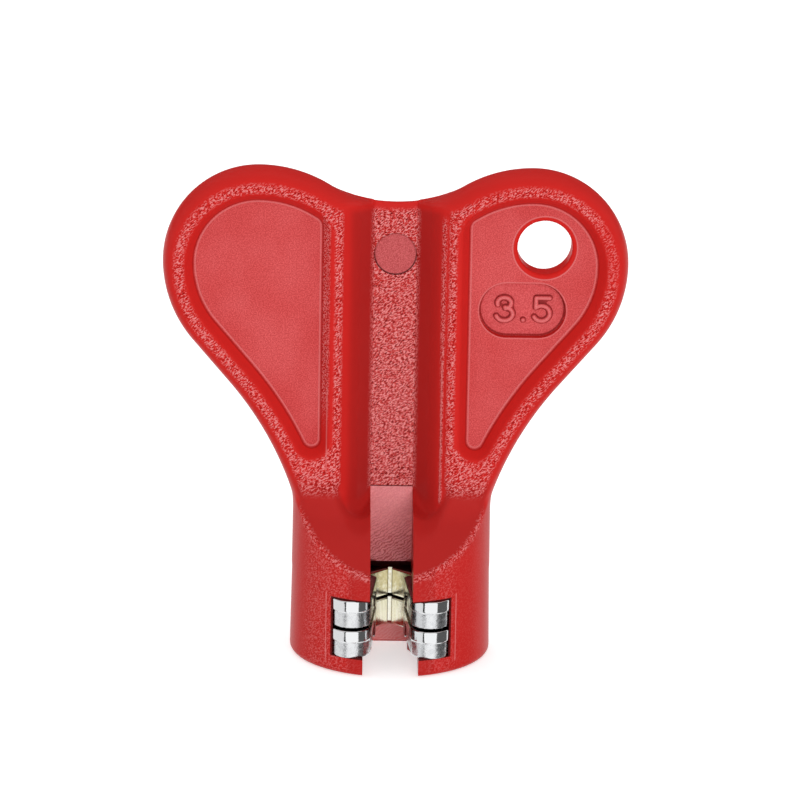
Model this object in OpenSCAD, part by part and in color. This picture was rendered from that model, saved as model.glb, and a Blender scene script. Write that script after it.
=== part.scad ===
// Spoke wrench: a one-piece moulded handle that holds two stacked steel jaw plates.
// X is to the right, Y away from the viewer and Z up along the axis of the barrel.
// The origin is on that axis, in the plane of the barrel's bottom face.

/* [Wings] */
// Height of the neck, where the wings leave the barrel, over the jaw plates
neck_rise = 7.7; // [6.8:0.1:9]
// Radius that blends the barrel into the waist
neck_r = 8; // [6:0.5:10]
// Angle from the vertical at which the neck runs into the waist
waist_angle = 19.5; // [15:0.5:24]
// Radius of the hollow waist
waist_r = 38; // [32:0.5:44]
// Angle of the straight flank from the vertical
flank_angle = 40.5; // [37:0.5:44]
// Length of the straight flank
flank_l = 6.12; // [5:0.02:8]
// Radius of the lower outer side of a wing
side_r = 13.6; // [12:0.1:16]
// Radius of the upper outer corner of a wing
corner_r = 10.5; // [9:0.1:12]
// Radius of the top of a wing, on the side of the saddle
top_r = 15; // [13:0.1:17]
// Depth of the saddle below the tops of the wings
saddle_depth = 4.2; // [3.6:0.1:5]
// Thickness over the raised rim and ribs
rim_t = 7.2; // [6.4:0.1:8]
// Width of the rounding along the outer edge
edge_round = 1.6; // [1:0.1:2]

/* [Panels] */
// Thickness of the web in the recessed panels
web_t = 3.4; // [2.8:0.1:4]
// Width of the rim, from the outline to the panel
rim_w = 3.45; // [3:0.05:4]
// Width of the slope from the rim's crest down to the panel
slope_w = 1; // [0.6:0.1:1.2]
// Distance of a panel's straight inner edge from the middle
panel_x = 8.1; // [7.8:0.1:8.6]
// Radius of the lower tip of a panel
panel_tip_r = 0.9; // [0.7:0.1:1.2]

/* [Hanging hole] */
// Diameter of the hanging hole
hole_d = 6; // [5:0.1:6.6]
// Distance of the hole outwards of the centre of the wing's corner arc
hole_out = 1.25; // [0.5:0.05:2]
// Height of the hole over that centre
hole_up = 2.1; // [1:0.1:3]
// Width of the broken edge round the hole
hole_edge = 0.4; // [0.2:0.1:0.6]

/* [Size mark] */
// Length of the oval recess
mark_l = 9.5; // [9:0.1:10]
// Height of the oval recess
mark_h = 6.1; // [5.8:0.1:6.4]
// Depth of the oval recess
mark_depth = 1; // [0.6:0.1:1.2]
// Distance of the recess inwards of the centre of the wing's corner arc
mark_in = 1.05; // [0.6:0.05:1.2]
// Distance of the recess below that centre
mark_down = 4.95; // [4.8:0.05:5.6]
// Height of a digit
digit_h = 3.1; // [2.6:0.1:3.4]
// Width of a digit
digit_w = 2.4; // [2:0.1:2.6]
// Width of a digit's stroke
stroke_w = 0.5; // [0.4:0.05:0.6]
// Height of the digits above the floor of the recess
digit_raise = 0.45; // [0.3:0.05:0.6]
// Distance of each digit's middle from the middle of the recess
digit_x = 2.1; // [2:0.05:2.3]

/* [Spoke channel] */
// Half of the width of the channel's floor
floor_x = 2.35; // [2.2:0.05:2.6]
// Depth of the floor behind the middle plane
floor_y = 2.5; // [2.2:0.1:3]
// Half of the width between the shoulders of the walls
shoulder_x = 4.6; // [4.2:0.1:5]
// Depth of the shoulders below the ribs
shoulder_drop = 1.3; // [0.8:0.1:1.8]
// Half of the width between the crests of the ribs
crest_x = 6.3; // [6:0.1:6.8]
// Height that the rounded spine behind the channel stands above the ribs
spine_y = 1.2; // [0.8:0.1:2.4]
// Half of the width of the spine's foot
spine_x = 6; // [5.4:0.1:6.2]
// Radius of the spine's top edge along the saddle
spine_round = 3.4; // [1:0.1:4]
// Height over which the channel's walls fade out under the ribs
fade_h = 2.5; // [1.5:0.1:3.5]
// Diameter of the round ejector mark on the floor
ejector_d = 4.6; // [4:0.1:4.6]
// Distance of the ejector mark below the bottom of the saddle
ejector_down = 6.1; // [4:0.1:8]
// Depth of the ejector mark
ejector_depth = 0.12; // [0.1:0.02:0.3]

/* [Barrel] */
// Radius of the barrel where the wings leave it
barrel_top_r = 10.88; // [10.4:0.02:12]
// Growth of the barrel's radius towards its bottom
barrel_draft = 0.27; // [0.1:0.01:0.4]
// Radius of the bottom edge
foot_round = 0.7; // [0.3:0.1:1.2]
// Height at which the scoops meet the ribs, over the neck
scoop_rise = 0.95; // [0.5:0.05:1.5]
// Angle of the scoops from the horizontal
scoop_angle = 40; // [36:1:44]
// Radius that blends a scoop into the ribs
scoop_round = 4.3; // [3:0.1:5]

/* [Jaw plates] */
// Width across the flats of the nipple socket
socket_w = 3.5; // [3.2:0.05:3.6]
// Width of the relief in the rear corner of the socket
relief_w = 0.4; // [0.3:0.05:0.6]
// Depth of that relief
relief_depth = 0.2; // [0.1:0.05:0.4]
// Width of the throat that the spoke passes through
throat_w = 3.05; // [2.6:0.05:3.1]
// Width of the gap between the prongs at their tips
mouth_w = 4.2; // [3.8:0.1:4.6]
// Width across both prongs
jaw_w = 13.1; // [12.6:0.1:13.6]
// Distance that the prong tips stand proud of the barrel
tip_proud = 0.02; // [0:0.02:0.2]
// Thickness of one plate
plate_t = 3.1; // [2.8:0.1:3.2]
// Height of the underside of the lower plate
plate_z = 2; // [1.6:0.1:2.4]
// Gap between the two plates
plate_gap = 0.35; // [0.2:0.05:0.5]
// Share of a plate's thickness that the punch cut cleanly
clean_share = 0.42; // [0.3:0.01:0.6]
// Distance that the broken part of a plate's edge stands back
break_step = 0.16; // [0.08:0.02:0.24]
// Steel between the socket's relief and the anchor hole that the plastic fills
anchor_web = 0.925; // [0.8:0.025:1.2]
// Steel behind the anchor hole
anchor_wall = 0.35; // [0.3:0.05:0.6]

/* [Nipple slot] */
// Width of the front of the slot under the plates
slot_w = 6.1; // [5.6:0.1:6.6]
// Width of the rear of that slot
slot_rear_w = 4; // [3.8:0.1:4.2]
// Distance in front of the axis at which the slot starts to narrow
slot_front_y = 3.4; // [3:0.1:4]
// Distance in front of the axis at which the slot stops narrowing
slot_rear_y = 1.1; // [0.8:0.1:1.6]
// Distance of the slot's rear wall behind the axis
slot_back_y = 2; // [1.8:0.1:2.4]
// Clearance between the plastic and the inner edges of the plates
inner_clearance = 0.3; // [0.2:0.05:0.5]
// Height of the free space over the upper plate, up to the channel's floor
chamber_h = 0.55; // [0.3:0.05:0.8]
// Depth of that space behind the axis
chamber_y = 3.3; // [3:0.1:3.8]

/* [Hidden] */

$fn = 96;
overrun = 1;
arc_steps = 8;
edge_steps = 4;
stroke_fn = 24;
// Radius of the five's bowl, as a share of the digit's height
bowl_share = 0.31;

upper_plate_z = plate_z + plate_t + plate_gap;
plates_top_z = upper_plate_z + plate_t;
floor_z = plates_top_z + chamber_h;
neck_z = plates_top_z + neck_rise;
barrel_r = barrel_top_r + barrel_draft;

// Centres of the arcs of the right half of the outline, as X and Z, from the neck up
flank_normal = [cos(flank_angle), -sin(flank_angle)];
waist_normal = [cos(waist_angle), -sin(waist_angle)];
neck_c = [barrel_top_r + neck_r, neck_z];
waist_c = neck_c + (waist_r - neck_r) * waist_normal;
flank_foot = waist_c - waist_r * flank_normal;
flank_top = flank_foot + flank_l * [sin(flank_angle), cos(flank_angle)];
side_c = flank_top - side_r * flank_normal;
half_w = side_c.x + side_r;
corner_c = [half_w - corner_r, side_c.y];
total_h = corner_c.y + corner_r;
top_c = [corner_c.x, total_h - top_r];
saddle_z = total_h - saddle_depth;
saddle_rise = saddle_z - top_c.y;
saddle_r = (pow(top_c.x, 2) + pow(saddle_rise, 2) - pow(top_r, 2)) / (2 * saddle_depth);
saddle_c = [0, saddle_z + saddle_r];
// Angle at which the saddle runs into the top of the wing
saddle_angle = atan2(saddle_c.y - top_c.y, top_c.x);
slab_hub = [barrel_top_r / 2, (saddle_z + neck_z) / 2];

// The panel's tip touches both its straight inner edge and its outer edge along the waist
panel_waist_r = waist_r + rim_w + panel_tip_r;
panel_tip_x = panel_x + panel_tip_r;
panel_tip_angle = acos((waist_c.x - panel_tip_x) / panel_waist_r);
panel_tip_c = [panel_tip_x, waist_c.y + panel_waist_r * sin(panel_tip_angle)];
panel_depth = (rim_t - web_t) / 2;
hole_c = corner_c + [hole_out, hole_up];
mark_c = corner_c - [mark_in, mark_down];
ejector_z = saddle_z - ejector_down;
rib_y = rim_t / 2;
shoulder_y = rib_y - shoulder_drop;
scoop_z = neck_z + scoop_rise;
barrel_h = scoop_z + rib_y * tan(scoop_angle);
blend_top_z = scoop_z + scoop_round * tan((90 - scoop_angle) / 2);
prong_w = (jaw_w - mouth_w) / 2;
prong_x = (jaw_w + mouth_w) / 4;
prong_y = sqrt(pow(barrel_r, 2) - pow(prong_x, 2)) + tip_proud;
tip_r = prong_w / 2;
tip_y = prong_y - tip_r;
socket_reach = socket_w / sqrt(2);
throat_y = socket_reach - throat_w / 2;
relief_y = socket_reach + relief_depth;
anchor_d = jaw_w / 2 - relief_y - anchor_web - anchor_wall;
anchor_y = jaw_w / 2 - anchor_wall - anchor_d / 2;
break_h = plate_t * (1 - clean_share);

function arc_point(c, r, a) = c + r * [cos(a), sin(a)];
// Points of an arc from one angle to another, both ends included
function arc(c, r, a0, a1, steps = arc_steps) =
    [for (i = [0:steps]) arc_point(c, r, a0 + (a1 - a0) * i / steps)];
// The same without its last point, where the next arc starts
function open_arc(c, r, a0, a1) =
    [for (i = [0:arc_steps - 1]) arc_point(c, r, a0 + (a1 - a0) * i / arc_steps)];

// Right half of the outline, moved inwards by an inset, from the saddle down to the neck
function half_outline(inset) = concat(
    open_arc(saddle_c, saddle_r + inset, -90, -saddle_angle),
    open_arc(top_c, top_r - inset, 180 - saddle_angle, 90),
    open_arc(corner_c, corner_r - inset, 90, 0),
    arc(side_c, side_r - inset, 0, -flank_angle),
    open_arc(waist_c, waist_r + inset, 180 - flank_angle, 180 - waist_angle),
    arc(neck_c, neck_r + inset, 180 - waist_angle, 180)
);

// Outline of the right panel, from its upper inner corner round to the tip
function panel_outline(grow) =
    let (
        inset = rim_w - grow,
        r = top_r - inset,
        inner_x = panel_x - grow,
        start = 90 + asin((top_c.x - inner_x) / r)
    )
    concat(
        open_arc(top_c, r, start, 90),
        open_arc(corner_c, corner_r - inset, 90, 0),
        arc(side_c, side_r - inset, 0, -flank_angle),
        arc(waist_c, waist_r + inset, 180 - flank_angle, 180 - panel_tip_angle),
        arc(panel_tip_c, panel_tip_r + grow, -panel_tip_angle, -180)
    );

// Whole outline: down the right side, past the middle of the neck and up the left side
function outline(inset) =
    let (half = half_outline(inset))
    concat(half, [[0, neck_z]], [for (i = [len(half) - 1:-1:1]) [-half[i].x, half[i].y]]);
function at_depth(p, y) = [for (q = p) [q.x, y, q.y]];

// Side faces between rings of n points each
function ring_faces(rings, n) = [
    for (k = [0:rings - 2], i = [0:n - 1], f = [0, 1])
        let (j = (i + 1) % n)
        f == 0 ? [k * n + i, (k + 1) * n + j, k * n + j] : [k * n + i, (k + 1) * n + i, (k + 1) * n + j]
];
// Fan of faces from a hub to the points from one index to another
function fan(hub, first, last, start, n, flip) = [
    for (i = [first:last - 1])
        let (a = start + i % n, b = start + (i + 1) % n)
        flip ? [hub, a, b] : [hub, b, a]
];

// Slab with the outline of both wings and an elliptical edge
module wings() {
    m = len(half_outline(0));
    n = 2 * m;
    rings = 2 * edge_steps + 1;
    side_angles = [for (k = [-edge_steps:edge_steps]) 90 * k / edge_steps];
    ring_points = [
        for (a = side_angles) each at_depth(outline(edge_round * (1 - cos(a))), rib_y * sin(a))
    ];
    hubs = [
        [slab_hub.x, -rib_y, slab_hub.y], [-slab_hub.x, -rib_y, slab_hub.y],
        [slab_hub.x, rib_y, slab_hub.y], [-slab_hub.x, rib_y, slab_hub.y]
    ];
    h = rings * n;
    back = (rings - 1) * n;
    // The seam from the neck's middle up to the saddle closes each half
    faces = concat(
        ring_faces(rings, n),
        fan(h, 0, m, 0, n, true), [[h, m, 0]],
        fan(h + 1, m, n, 0, n, true), [[h + 1, 0, m]],
        fan(h + 2, 0, m, back, n, false), [[h + 2, back, back + m]],
        fan(h + 3, m, n, back, n, false), [[h + 3, back + m, back]]
    );
    polyhedron(points = concat(ring_points, hubs), faces = faces);
}

// Recess of one panel in the front face, with a sloped wall
module panel_recess() {
    slope = slope_w / panel_depth;
    floor_ring = panel_outline(0);
    mouth_ring = panel_outline(slope_w + overrun * slope);
    n = len(floor_ring);
    hubs = [[corner_c.x, -rib_y - overrun, corner_c.y], [corner_c.x, -rib_y + panel_depth, corner_c.y]];
    points = concat(
        at_depth(mouth_ring, -rib_y - overrun),
        at_depth(floor_ring, -rib_y + panel_depth),
        hubs
    );
    faces = concat(ring_faces(2, n), fan(2 * n, 0, n, 0, n, true), fan(2 * n + 1, 0, n, n, n, false));
    polyhedron(points = points, faces = faces);
}

module panel_recesses() {
    for (side = [0, 1], face = [0, 1])
        mirror([side, 0, 0]) mirror([0, face, 0]) panel_recess();
}

// Barrel with a rounded bottom edge, drawn in a little towards the top
module barrel_blank() {
    rotate_extrude()
        polygon(concat(
            [[0, 0]],
            arc([barrel_r - foot_round, foot_round], foot_round, -90, 0, edge_steps),
            [[barrel_top_r, neck_z], [barrel_top_r, barrel_h], [0, barrel_h]]
        ));
}

// Everything above one sloping scoop, as seen from the side
module scoop_cut() {
    reach = barrel_r + overrun;
    fall = (reach - rib_y) * tan(scoop_angle);
    translate([-reach, 0, 0])
        rotate([90, 0, 90])
            linear_extrude(2 * reach)
                polygon([
                    [0, barrel_h], [-reach, scoop_z - fall], [-reach, barrel_h + overrun],
                    [0, barrel_h + overrun]
                ]);
}

// Hollow corner that blends a scoop into the ribs
module scoop_blend() {
    leg = blend_top_z - scoop_z;
    c = [-rib_y - scoop_round, blend_top_z];
    translate([-panel_x, 0, 0])
        rotate([90, 0, 90])
            linear_extrude(2 * panel_x)
                polygon(concat(
                    [[-rib_y + edge_round, scoop_z - leg], [-rib_y + edge_round, scoop_z + leg]],
                    arc(c, scoop_round, 0, scoop_angle - 90)
                ));
}

module barrel() {
    difference() {
        barrel_blank();
        for (face = [0, 1]) mirror([0, face, 0]) scoop_cut();
    }
    for (face = [0, 1]) mirror([0, face, 0]) scoop_blend();
}

// Rounded spine at the back, behind the channel
module spine() {
    crown_y = rib_y + spine_y;
    crown_r = (pow(spine_x, 2) + pow(spine_y, 2)) / (2 * spine_y);
    difference() {
        translate([0, 0, scoop_z - spine_y])
            linear_extrude(saddle_z - scoop_z + spine_y + overrun)
                intersection() {
                    translate([0, crown_y - crown_r]) circle(crown_r);
                    translate([-crown_r, floor_y]) square([2 * crown_r, crown_y]);
                }
        // The saddle's round, whose rear edge is rounded over
        translate([0, crown_y, saddle_c.y])
            rotate([-90, 0, 0])
                rotate_extrude()
                    polygon(concat(
                        [[0, -crown_y], [saddle_r, -crown_y]],
                        arc([saddle_r + spine_round, -spine_round], spine_round, 180, 90),
                        [[saddle_r + spine_round, overrun], [0, overrun]]
                    ));
    }
}

// Sloping walls of the channel between the ribs, which fade out behind the scoop
module channel_walls() {
    top = total_h + overrun;
    intersection() {
        linear_extrude(top)
            polygon([
                [-floor_x, floor_y], [floor_x, floor_y], [shoulder_x, -shoulder_y], [crest_x, -rib_y],
                [crest_x, -rib_y - scoop_round], [-crest_x, -rib_y - scoop_round], [-crest_x, -rib_y],
                [-shoulder_x, -shoulder_y]
            ]);
        translate([-barrel_r, 0, 0])
            rotate([90, 0, 90])
                linear_extrude(2 * barrel_r)
                    polygon([
                        [-rib_y, blend_top_z], [floor_y, scoop_z - fade_h], [barrel_r, scoop_z - fade_h],
                        [barrel_r, top], [-barrel_r, top], [-barrel_r, blend_top_z]
                    ]);
    }
}

// Open channel that the spoke lies in
module spoke_channel() {
    channel_walls();
    translate([-floor_x, -barrel_r - overrun, floor_z])
        cube([2 * floor_x, barrel_r + overrun + floor_y, total_h - floor_z]);
}

module hanging_hole() {
    edge_h = hole_edge + overrun;
    translate([hole_c.x, 0, hole_c.y])
        rotate([90, 0, 0]) {
            cylinder(d = hole_d, h = rim_t, center = true);
            for (face = [0, 1])
                mirror([0, 0, face])
                    translate([0, 0, web_t / 2 - hole_edge])
                        cylinder(d1 = hole_d, d2 = hole_d + 2 * edge_h, h = edge_h);
        }
}

module oval(l, h) {
    for (side = [-1, 1]) translate([side * (l - h) / 2, 0]) circle(d = h);
    square([l - h, h], center = true);
}

// Part of a ring between two angles, with round ends
module stroke_arc(r, a0, a1) {
    polygon(concat(arc([0, 0], r + stroke_w / 2, a0, a1), arc([0, 0], r - stroke_w / 2, a1, a0)));
    for (a = [a0, a1]) translate(r * [cos(a), sin(a)]) circle(d = stroke_w, $fn = stroke_fn);
}

module stroke_line(p, q) {
    d = q - p;
    translate(p) rotate(atan2(d.y, d.x)) translate([0, -stroke_w / 2]) square([norm(d), stroke_w]);
    for (e = [p, q]) translate(e) circle(d = stroke_w, $fn = stroke_fn);
}

module three() {
    r = (digit_h - stroke_w) / 4;
    reach = digit_w / 2 - stroke_w / 2 - r;
    for (side = [-1, 1]) {
        translate([reach, side * r]) stroke_arc(r, -90, 90);
        translate([0, side * r]) stroke_line([0, -side * r], [reach, -side * r]);
        stroke_line([-reach, side * 2 * r], [reach, side * 2 * r]);
    }
}

module five() {
    r = (digit_h - stroke_w) * bowl_share;
    left = -digit_w / 2 + stroke_w / 2;
    top = (digit_h - stroke_w) / 2;
    bowl_y = -top + r;
    reach = digit_w / 2 - stroke_w / 2 - r;
    stroke_line([left, top], [-left, top]);
    stroke_line([left, top], [left, bowl_y + r]);
    stroke_line([left, bowl_y + r], [reach, bowl_y + r]);
    translate([reach, bowl_y]) stroke_arc(r, -90, 90);
    stroke_line([left, -top], [reach, -top]);
}

module size_mark_recess() {
    translate([mark_c.x, -web_t / 2 + mark_depth, mark_c.y])
        rotate([90, 0, 0]) linear_extrude(mark_depth + overrun) oval(mark_l, mark_h);
}

module size_mark_digits() {
    translate([mark_c.x, -web_t / 2 + mark_depth, mark_c.y])
        rotate([90, 0, 0])
            linear_extrude(digit_raise) {
                translate([-digit_x, 0]) three();
                translate([0, (stroke_w - digit_h) / 2]) circle(d = stroke_w, $fn = stroke_fn);
                translate([digit_x, 0]) five();
            }
}

module ejector_mark() {
    translate([0, floor_y + ejector_depth, ejector_z])
        rotate([90, 0, 0]) cylinder(d = ejector_d, h = floor_y);
}

// Opening between the prongs, with the nipple socket at its rear, grown by a margin
module jaw_opening(margin = 0) {
    front = prong_y + overrun;
    mouth_x = mouth_w / 2 + margin;
    throat_x = throat_w / 2 + margin;
    relief_x = relief_w / 2 + margin;
    corner_y = socket_reach + margin - relief_w / 2;
    right = [
        [mouth_x, -front], [mouth_x, -tip_y], [throat_x, -throat_y], [socket_reach + margin, 0],
        [relief_x, corner_y], [relief_x, relief_y + margin]
    ];
    polygon(concat(right, [for (i = [len(right) - 1:-1:0]) [-right[i].x, right[i].y]]));
}

// Outer shape of a plate: a round back and two prongs with round tips, drawn in by a step
module jaw_blank(step = 0) {
    circle(d = jaw_w - 2 * step);
    for (side = [-1, 1])
        translate([side * prong_x, 0]) {
            translate([step - prong_w / 2, -tip_y]) square([prong_w - 2 * step, tip_y]);
            translate([0, -tip_y]) circle(d = prong_w - 2 * step);
        }
}

module jaw_profile(step = 0) {
    difference() {
        jaw_blank(step);
        jaw_opening(step);
        translate([0, anchor_y]) circle(d = anchor_d);
    }
}

// One plate, cleanly cut above and broken away a little below
module jaw_plate() {
    linear_extrude(break_h) jaw_profile(break_step);
    translate([0, 0, break_h]) linear_extrude(plate_t - break_h) jaw_profile();
}

// Space in the plastic for both plates, open to the front of the barrel
module jaw_pocket() {
    translate([0, 0, plate_z])
        linear_extrude(plates_top_z - plate_z) {
            difference() {
                jaw_blank();
                translate([0, anchor_y]) circle(d = anchor_d);
            }
            jaw_opening(inner_clearance);
            translate([-jaw_w / 2, -barrel_r - overrun]) square([jaw_w, barrel_r + overrun - tip_y]);
        }
}

// Free space over the socket, between the plates and the end of the channel's floor
module socket_chamber() {
    translate([0, 0, plates_top_z])
        linear_extrude(chamber_h) {
            translate([-floor_x, 0]) square([2 * floor_x, chamber_y]);
        }
    translate([-floor_x, -barrel_r - overrun, plates_top_z])
        cube([2 * floor_x, barrel_r + overrun + floor_y, floor_z - plates_top_z + overrun]);
}

// Slot under the plates, which clears the nipple and the rim's seat
module nipple_slot() {
    right = [
        [slot_w / 2, -barrel_r - overrun], [slot_w / 2, -slot_front_y],
        [slot_rear_w / 2, -slot_rear_y], [slot_rear_w / 2, slot_back_y]
    ];
    translate([0, 0, -overrun])
        linear_extrude(plate_z + overrun)
            polygon(concat(right, [for (i = [len(right) - 1:-1:0]) [-right[i].x, right[i].y]]));
}

module moulded_handle() {
    color("crimson") {
        difference() {
            union() {
                difference() {
                    wings();
                    panel_recesses();
                }
                barrel();
                spine();
            }
            spoke_channel();
            ejector_mark();
            hanging_hole();
            size_mark_recess();
            jaw_pocket();
            socket_chamber();
            nipple_slot();
        }
        size_mark_digits();
    }
}

module upper_jaw_plate() {
    color("silver") translate([0, 0, upper_plate_z]) jaw_plate();
}

module lower_jaw_plate() {
    color("gainsboro") translate([0, 0, plate_z]) jaw_plate();
}

moulded_handle();
upper_jaw_plate();
lower_jaw_plate();
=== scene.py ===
import math

import bpy
import numpy as np
from mathutils import Matrix, Vector


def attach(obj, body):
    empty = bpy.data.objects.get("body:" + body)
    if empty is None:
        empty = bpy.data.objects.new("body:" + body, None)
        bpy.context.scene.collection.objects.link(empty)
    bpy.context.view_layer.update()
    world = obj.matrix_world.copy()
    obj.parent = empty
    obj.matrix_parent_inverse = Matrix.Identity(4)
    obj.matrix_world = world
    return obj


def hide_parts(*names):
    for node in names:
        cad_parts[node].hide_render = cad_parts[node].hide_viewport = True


for name in ("Cube", "Light", "Camera"):
    if name in bpy.data.objects:
        bpy.data.objects.remove(bpy.data.objects[name])

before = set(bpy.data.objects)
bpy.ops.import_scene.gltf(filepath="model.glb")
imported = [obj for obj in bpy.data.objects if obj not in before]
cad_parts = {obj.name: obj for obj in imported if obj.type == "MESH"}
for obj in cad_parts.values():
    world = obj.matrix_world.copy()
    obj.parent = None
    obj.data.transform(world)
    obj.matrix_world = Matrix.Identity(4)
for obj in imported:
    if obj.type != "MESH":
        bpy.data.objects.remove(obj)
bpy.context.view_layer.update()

MM = 0.001
FAR = 60

# Wings
neck_r = 8
waist_angle = 19.5
waist_r = 38
flank_angle = 40.5
flank_l = 6.12
side_r = 13.6
corner_r = 10.5
top_r = 15
saddle_depth = 4.2
rib_y = 3.6
edge_round = 1.6
wing_bottom_z = 10
# Panels
web_y = 1.7
rim_w = 3.45
slope_w = 1
panel_x = 8.1
panel_corner_r = 0.5
panel_tip_r = 0.9
panel_foot_r = 0.12
panel_edge_r = 0.35
# Hole and size mark
hole_r = 3
hole_edge = 0.45
mark_l = 9.5
mark_h = 6.1
mark_depth = 1
mark_foot_r = 0.08
stroke_r = 0.25
digit_raise = 0.45
digit_lap = 0.1
# Channel, its ejector mark and the smooth patch over the jaws
floor_x = 2.35
floor_y = 2.5
floor_corner_r = 0.3
shoulder_x = 4.6
shoulder_y = 2.3
shoulder_fillet = 0.9
crest_x = 6.3
crest_edge_r = 0.5
fade_z = 16.1
fade_lean = 0.1
fade_drop = 0.5
fade_top_x = 3.5
fade_half_w = 1.15
fade_round = 1.2
fade_edge_r = 0.9
ejector_r = 2.3
ejector_depth = 0.1
patch_depth = 0.08
patch_top_z = 18.05
# Spine behind the channel
spine_y = 1.2
spine_x = 6
spine_round = 3.4
spine_fillet = 0.8
# Barrel
barrel_top_r = 10.88
barrel_r = 11.15
foot_round = 0.7
neck_z = 16.25
neck_fillet = 0.3
scoop_z = 17.2
scoop_angle = 40
scoop_round = 4.3
scoop_edge_r = 0.22
cut_edge_r = 0.1
# Jaw plates
plate_t = 3.1
plates_bottom_z = 2
upper_plate_z = 5.45
plates_top_z = upper_plate_z + plate_t
jaw_r = 6.55
mouth_x = 2.1
throat_x = 1.525
throat_y = 0.95
wedge_end_y = 0.5
socket_reach = 2.475
socket_r = 2.9
socket_fillet = 0.02
relief_x = 0.2
relief_y = 2.675
relief_inset = 0.1
tip_r = 2.225
tip_x = 4.325
tip_y = 8.07
break_h = 1.8
break_step = 0.12
plate_corner_r = 0.2
plate_top_r = 0.22
plate_foot_r = 0.1
# Chamber above the plates, and the slot under them
chamber_y = 5.2
chamber_z = 8.9
chamber_half_h = 0.35
slot_x = 3.05
slot_rear_x = 2
slot_front_y = 3.4
slot_rear_y = 1.1
slot_back_y = 2
slot_lap = 0.1
# Size of the cells that the surfaces are meshed with
handle_cell = 0.30
digit_cell = 0.07
plate_cell = 0.12


def unit(angle):
    """Direction at an angle in degrees"""
    return np.array([math.cos(math.radians(angle)), math.sin(math.radians(angle))])


# Centres of the outline's arcs, as X and Z, from the neck up
flank_normal = unit(-flank_angle)
flank_along = unit(90 - flank_angle)
neck_c = np.array([barrel_top_r + neck_r, neck_z])
waist_c = neck_c + (waist_r - neck_r) * unit(-waist_angle)
flank_foot = waist_c - waist_r * flank_normal
side_c = flank_foot + flank_l * flank_along - side_r * flank_normal
half_w = side_c[0] + side_r
corner_c = np.array([half_w - corner_r, side_c[1]])
total_h = corner_c[1] + corner_r
top_c = np.array([corner_c[0], total_h - top_r])
saddle_z = total_h - saddle_depth
saddle_r = (top_c[0] ** 2 + (saddle_z - top_c[1]) ** 2 - top_r ** 2) / (2 * saddle_depth)
saddle_c = np.array([0, saddle_z + saddle_r])
saddle_angle = math.degrees(math.atan2(saddle_c[1] - top_c[1], top_c[0]))

# Places that hang on the outline
panel_waist_r = waist_r + rim_w + panel_tip_r
panel_tip_x = panel_x + panel_tip_r
panel_tip_angle = math.degrees(math.acos((waist_c[0] - panel_tip_x) / panel_waist_r))
panel_tip_rise = panel_waist_r * math.sin(math.radians(panel_tip_angle))
panel_tip_c = np.array([panel_tip_x, waist_c[1] + panel_tip_rise])
hole_c = corner_c + np.array([1.25, 2.1])
mark_c = corner_c - np.array([1.05, 4.95])
ejector_z = saddle_z - 6.05


def ramp(value, low, high):
    """Smooth step from 0 at low to 1 at high"""
    t = np.clip((value - low) / (high - low), 0, 1)
    return t * t * (3 - 2 * t)


def join(a, b, r):
    """Distance to either of two shapes, with a fillet of radius r between them"""
    return np.maximum(np.minimum(a, b), r) - np.hypot(np.maximum(r - a, 0), np.maximum(r - b, 0))


def meet(a, b, r):
    """Distance to what two shapes share, with edges rounded to radius r"""
    return np.minimum(np.maximum(a, b), -r) + np.hypot(np.maximum(r + a, 0), np.maximum(r + b, 0))


def arc_distance(x, z, centre, radius, start, end, hollow):
    """Distance outwards from an arc, where the point faces it"""
    u, v = unit(start), unit(end)
    dx, dz = x - centre[0], z - centre[1]
    facing = (u[0] * dz - u[1] * dx >= 0) & (dx * v[1] - dz * v[0] >= 0)
    away = np.hypot(dx, dz) - radius
    return np.where(facing, -away if hollow else away, -FAR)


def outline_distance(ax, z):
    """Distance outwards from the outline of the wings, at either side"""
    along = (ax - flank_foot[0]) * flank_along[0] + (z - flank_foot[1]) * flank_along[1]
    off = (ax - flank_foot[0]) * flank_normal[0] + (z - flank_foot[1]) * flank_normal[1]
    pieces = [
        arc_distance(ax, z, saddle_c, saddle_r, -90, -saddle_angle, True),
        arc_distance(ax, z, top_c, top_r, 90, 180 - saddle_angle, False),
        arc_distance(ax, z, corner_c, corner_r, 0, 90, False),
        arc_distance(ax, z, side_c, side_r, -flank_angle, 0, False),
        np.where((along >= 0) & (along <= flank_l), off, -FAR),
        arc_distance(ax, z, waist_c, waist_r, 180 - flank_angle, 180 - waist_angle, True),
        arc_distance(ax, z, neck_c, neck_r, 180 - waist_angle, 180, True),
        np.where(z < neck_z + 1e-6, ax - barrel_top_r, -FAR),
    ]
    best = pieces[0]
    for piece in pieces[1:]:
        best = np.where(np.abs(piece) < np.abs(best), piece, best)
    return best


def panel_distance(ax, z, outline):
    """Distance outwards from the floor of the recessed panels"""
    panel = meet(outline + rim_w, panel_x - ax, panel_corner_r)
    dx, dz = ax - panel_tip_c[0], z - panel_tip_c[1]
    v = unit(-panel_tip_angle)
    below = (dz <= 0) & (dx * v[1] - dz * v[0] >= 0)
    return np.where(below, np.hypot(dx, dz) - panel_tip_r, panel)


def wings(y, outline, panel):
    """Slab with an elliptical edge and sloped recesses in both faces"""
    ay = np.abs(y)
    edge = np.maximum(edge_round + outline, 0) / edge_round
    face = ay / rib_y
    rho = np.hypot(edge, face)
    slope = np.hypot(edge / edge_round, face / rib_y) / np.maximum(rho, 0.001)
    slab = (rho - 1) / np.maximum(slope, 1 / rib_y)
    depth = rib_y - web_y
    wall = (depth * panel - slope_w * (ay - web_y)) / math.hypot(depth, slope_w)
    recess = meet(wall, web_y - ay, panel_foot_r)
    return meet(slab, -recess, panel_edge_r)


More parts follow.
